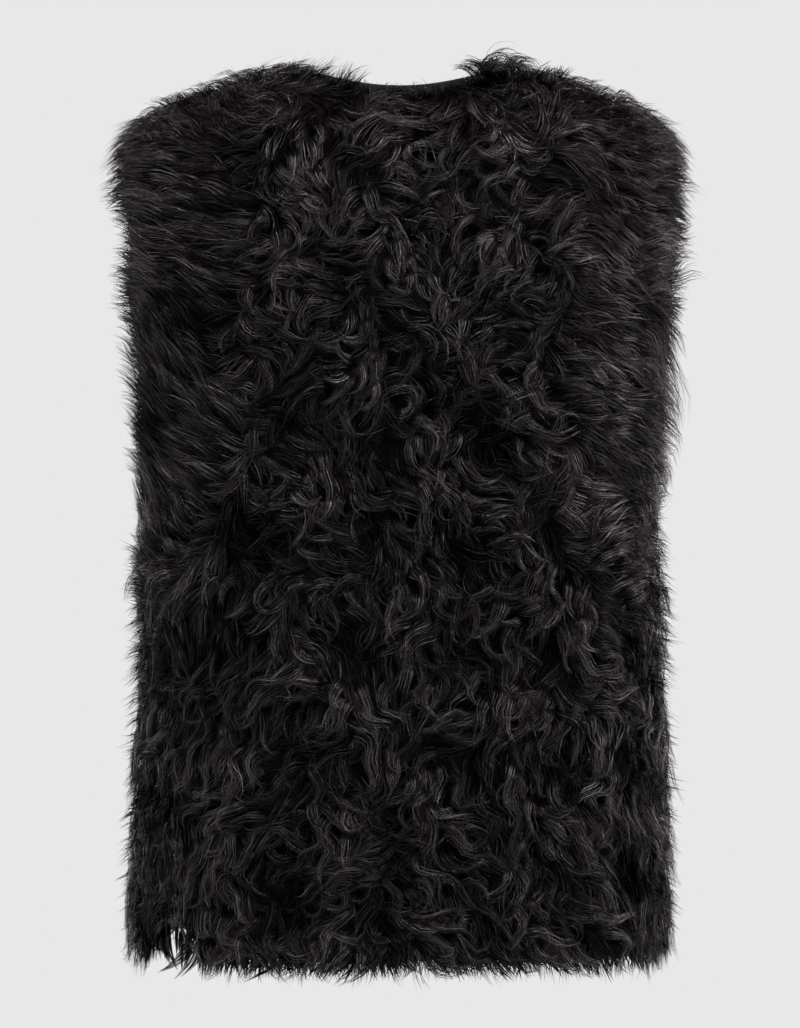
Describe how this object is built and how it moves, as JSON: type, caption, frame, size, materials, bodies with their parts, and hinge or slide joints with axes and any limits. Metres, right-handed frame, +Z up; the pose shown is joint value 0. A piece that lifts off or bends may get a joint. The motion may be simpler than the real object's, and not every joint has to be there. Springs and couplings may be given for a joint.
{
  "type": "shearling vest",
  "caption": "Sleeveless long-haired shearling vest with a round bound neck, deep armholes and a straight hem, filled out as if worn.",
  "frame": {"origin": "base of the neck, midway between the shoulders and in the plane of the shoulder and side seams, where the wearer's shoulders hold the vest", "axes": "+Z up; +Y towards the vest's back, so the wearer faces -Y; +X towards the wearer's left"},
  "size_m": [0.4411, 0.2781, 0.694],
  "materials": {
    "shearling": "black long curly wool, softly lustrous, on a skin with a matt suede inside",
    "suede_binding": "black suede, matt"
  },
  "bodies": {
    "root": {"back": "shearling", "front_left": "shearling", "front_right": "shearling", "neck_binding": "suede_binding"}
  },
  "joints": []
}
